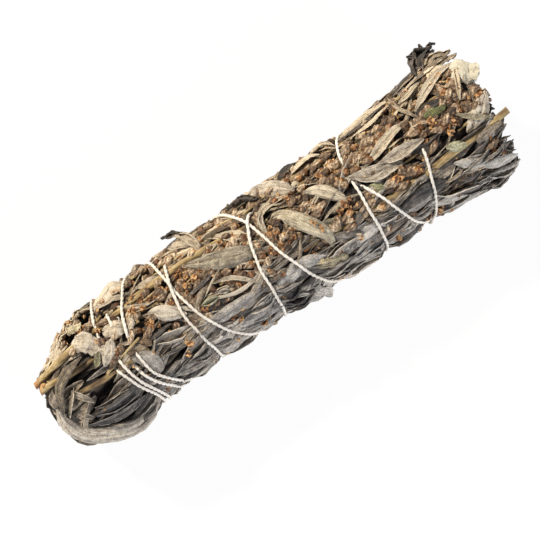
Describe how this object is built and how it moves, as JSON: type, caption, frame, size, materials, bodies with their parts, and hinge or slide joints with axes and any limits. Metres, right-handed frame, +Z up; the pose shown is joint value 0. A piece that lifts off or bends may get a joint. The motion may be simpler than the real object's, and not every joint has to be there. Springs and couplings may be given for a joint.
{
  "type": "smudge stick",
  "caption": "Short lying bundle of dried leafy herb sprigs with small flower heads, folded at one end, flared at the other, bound with cotton string.",
  "frame": {"origin": "under the middle of the bundle, on the surface that it lies on", "axes": "+X along the bundle, from its folded end to its open end; +Z up"},
  "size_m": [0.1272, 0.0334, 0.0317],
  "materials": {
    "leaf": "dry, woolly grey-beige leaf, wrinkled, matte",
    "packed_leaf": "dry leaves pressed together, grey-brown, matte",
    "flower_head": "dry bracts, grey-tan with orange-brown tips, matte",
    "stem": "dry herb stem, ochre-brown, ridged lengthwise",
    "cotton_string": "two-ply twisted cotton, off-white, matte"
  },
  "bodies": {
    "root": {"core_stem_01": "stem", "core_stem_02": "stem", "core_stem_03": "stem", "core_stem_04": "stem", "core_stem_05": "stem", "core_stem_06": "stem", "core_stem_07": "stem", "sprig_foliage_01": "packed_leaf", "sprig_foliage_02": "packed_leaf", "sprig_foliage_03": "packed_leaf", "sprig_foliage_04": "packed_leaf", "sprig_foliage_05": "packed_leaf", "sprig_foliage_06": "packed_leaf", "sprig_foliage_07": "packed_leaf", "sprig_foliage_08": "packed_leaf", "sprig_foliage_09": "packed_leaf", "outer_stem_01": "stem", "outer_stem_02": "stem", "outer_stem_03": "stem", "outer_stem_04": "stem", "outer_stem_05": "stem", "flower_spray_01": "flower_head", "flower_spray_02": "flower_head", "flower_spray_03": "flower_head", "flower_spray_04": "flower_head", "flower_spray_05": "flower_head", "flower_spray_06": "flower_head", "flower_spray_07": "flower_head", "flower_spray_08": "flower_head", "arched_leaf": "leaf", "pale_leaf": "leaf", "broad_leaf": "leaf", "slender_leaf": "leaf", "open_end_long_leaf": "leaf", "open_end_wide_leaf": "leaf", "open_end_cupped_leaf": "leaf", "speckled_leaf": "leaf", "grey_leaf": "leaf", "long_leaf": "leaf", "low_leaf": "leaf", "round_leaf": "leaf", "high_leaf": "leaf", "drooping_leaf": "leaf", "yellow_leaf": "leaf", "loose_leaf": "leaf", "upright_leaf": "leaf", "crumpled_leaf": "leaf", "fold_strap_leaf": "leaf", "fold_dark_leaf": "leaf", "fold_tan_leaf": "leaf", "back_leaf": "leaf", "front_low_leaf_01": "leaf", "front_low_leaf_02": "leaf", "under_leaf_01": "leaf", "under_leaf_02": "leaf", "under_leaf_03": "leaf", "under_leaf_04": "leaf", "under_leaf_05": "leaf", "string_winding": "cotton_string", "string_knot": "cotton_string"}
  },
  "joints": []
}
